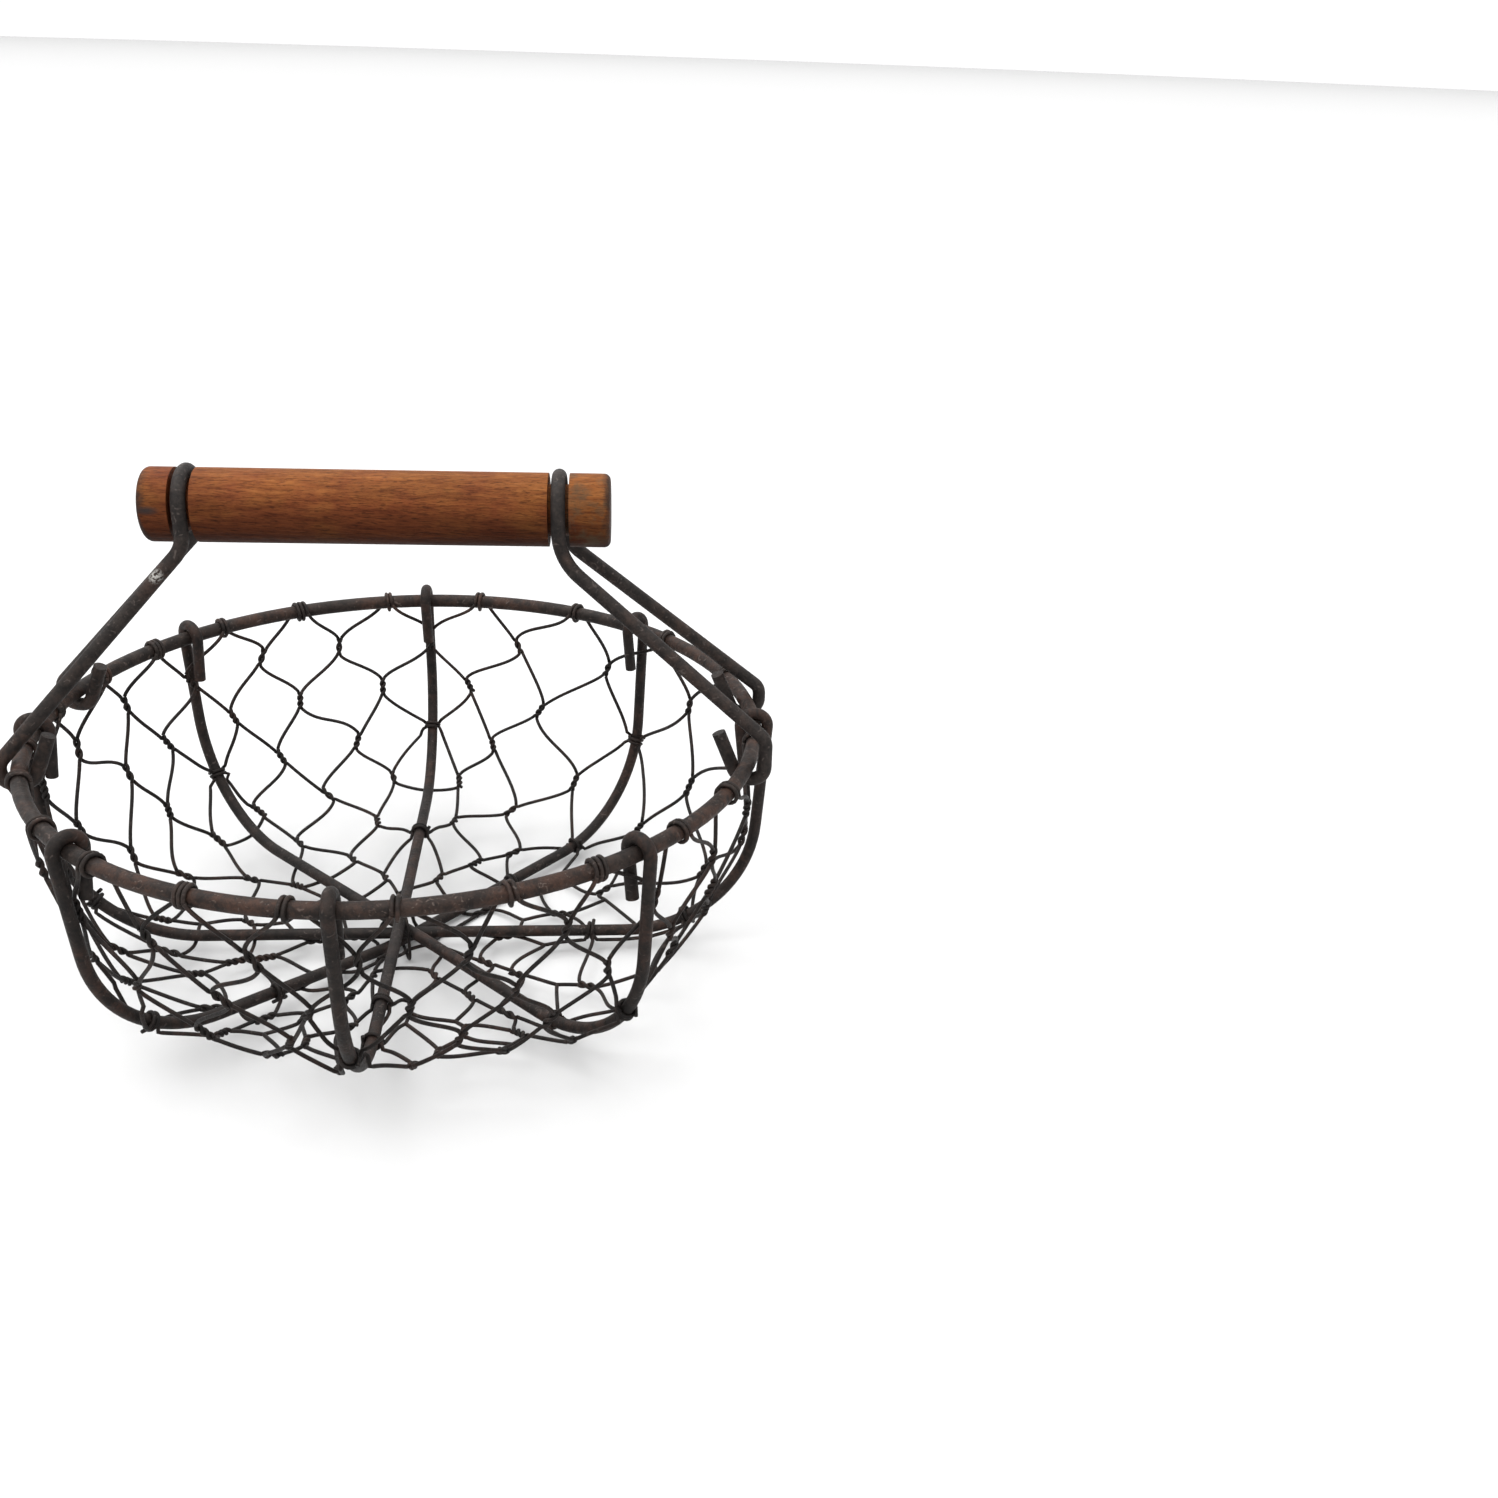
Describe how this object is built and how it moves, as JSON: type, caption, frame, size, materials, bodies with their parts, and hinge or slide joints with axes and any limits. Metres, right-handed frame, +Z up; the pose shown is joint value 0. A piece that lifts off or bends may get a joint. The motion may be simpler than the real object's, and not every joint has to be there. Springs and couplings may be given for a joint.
{
  "type": "egg collection basket",
  "caption": "Round wire egg collection basket with hexagonal netting, a hooked rib cage, two wire bails and a turned wooden grip.",
  "frame": {"origin": "on the ground, under the centre of the rim ring", "axes": "+Z up; +X along the wooden grip, from the left bail to the right one; +Y towards the rear"},
  "size_m": [0.2164, 0.2163, 0.1533],
  "materials": {
    "rim_steel": "dark oxidised steel wire with light rust",
    "rib_steel": "dark oxidised steel wire with light rust",
    "bail_steel": "dark oxidised steel wire, worn by handling",
    "tie_steel": "dark annealed tie wire",
    "netting_steel": "dark annealed netting wire",
    "grip_wood": "turned hardwood, reddish brown, satin from handling"
  },
  "bodies": {
    "basket": {"hub_tie": "tie_steel", "net_base_0": "netting_steel", "net_base_1": "netting_steel", "net_base_2": "netting_steel", "net_base_3": "netting_steel", "net_base_4": "netting_steel", "net_base_5": "netting_steel", "net_base_6": "netting_steel", "net_base_7": "netting_steel", "net_rib_coils": "netting_steel", "net_rim_coils": "netting_steel", "net_wall_0": "netting_steel", "net_wall_1": "netting_steel", "net_wall_2": "netting_steel", "net_wall_3": "netting_steel", "net_wall_4": "netting_steel", "net_wall_5": "netting_steel", "net_wall_6": "netting_steel", "net_wall_7": "netting_steel", "rib_front_rear": "rib_steel", "rib_rear_left": "rib_steel", "rib_rear_right": "rib_steel", "rib_right_left": "rib_steel", "rim": "rim_steel"},
    "left_bail": {"bail_left": "bail_steel"},
    "right_bail": {"bail_right": "bail_steel"},
    "grip": {"grip": "grip_wood"}
  },
  "joints": [
    {"name": "left_bail_hinge", "type": "hinge", "parent": "basket", "child": "left_bail", "pos_m": [-0.0991, -0.00069, 0.0763], "axis": [-0.007, 1, 0], "range_deg": [-2, 2]},
    {"name": "right_bail_hinge", "type": "hinge", "parent": "basket", "child": "right_bail", "pos_m": [0.09977, -0.00588, 0.0763], "axis": [0.0589, 0.9983, 0], "range_deg": [-2, 2]},
    {"name": "grip_hinge", "type": "hinge", "parent": "left_bail", "child": "grip", "pos_m": [-0.0524, -0.0015, 0.1423], "axis": [0, 1, 0], "range_deg": [-4, 4]}
  ],
  "couplings": [
    {"joint": "right_bail_hinge", "follows": "left_bail_hinge", "ratio": 1},
    {"joint": "grip_hinge", "follows": "left_bail_hinge", "ratio": -2}
  ]
}
